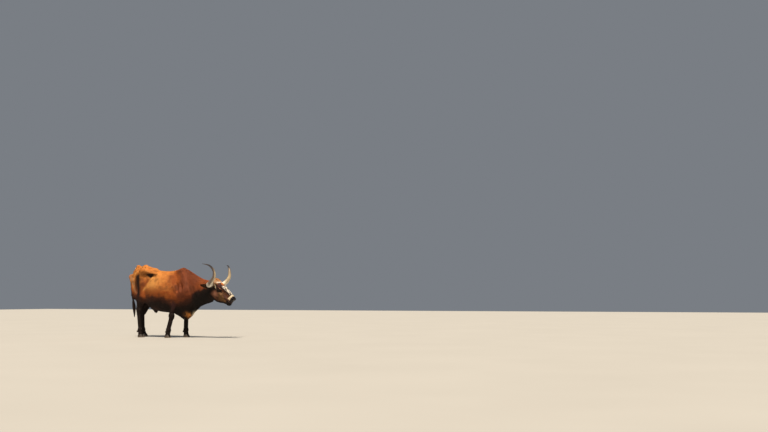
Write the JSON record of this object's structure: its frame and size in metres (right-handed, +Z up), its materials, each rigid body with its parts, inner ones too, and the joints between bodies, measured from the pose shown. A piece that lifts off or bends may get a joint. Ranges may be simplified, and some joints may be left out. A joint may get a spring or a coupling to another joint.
{
  "type": "texas longhorn steer, standing, life-size model",
  "caption": "Life-size still model of a thin standing longhorn steer, head low, long horns curving out and up, deep dewlap, tail hanging with a loose switch.",
  "frame": {"origin": "under the middle of the whole animal's box, on the ground", "axes": "+X is the way the animal faces, +Y is its left, +Z is up"},
  "size_m": [2.456, 0.8742, 1.4501],
  "materials": {
    "hide": "short rust-brown coat, matt with a soft sheen along the lie of the hair",
    "dark_hide": "short black-brown coat of the legs and ears, matt",
    "face_hide": "short brown face coat with white blaze, dark eye patch and pale ring behind the dark muzzle",
    "horn": "ivory horn sheath with growth rings at the base, grey-brown shaft and dark tip, low gloss",
    "hoof": "dark worn hoof horn with faint growth rings",
    "eye": "wet dark brown eye, glossy",
    "tail_hair": "long coarse dark brown hair in loose locks"
  },
  "bodies": {
    "root": {"torso": "hide", "neck": "hide", "head": "face_hide", "eye_right": "eye", "eye_left": "eye", "horn_right": "horn", "horn_left": "horn", "ear_right": "dark_hide", "ear_left": "dark_hide", "leg_front_right": "dark_hide", "claw_front_right_inner": "hoof", "dewclaw_front_right_inner": "hoof", "claw_front_right_outer": "hoof", "dewclaw_front_right_outer": "hoof", "leg_front_left": "dark_hide", "claw_front_left_inner": "hoof", "dewclaw_front_left_inner": "hoof", "claw_front_left_outer": "hoof", "dewclaw_front_left_outer": "hoof", "leg_hind_right": "dark_hide", "claw_hind_right_inner": "hoof", "dewclaw_hind_right_inner": "hoof", "claw_hind_right_outer": "hoof", "dewclaw_hind_right_outer": "hoof", "leg_hind_left": "dark_hide", "claw_hind_left_inner": "hoof", "dewclaw_hind_left_inner": "hoof", "claw_hind_left_outer": "hoof", "dewclaw_hind_left_outer": "hoof", "tail": "hide", "tail_switch": "tail_hair"}
  },
  "joints": []
}
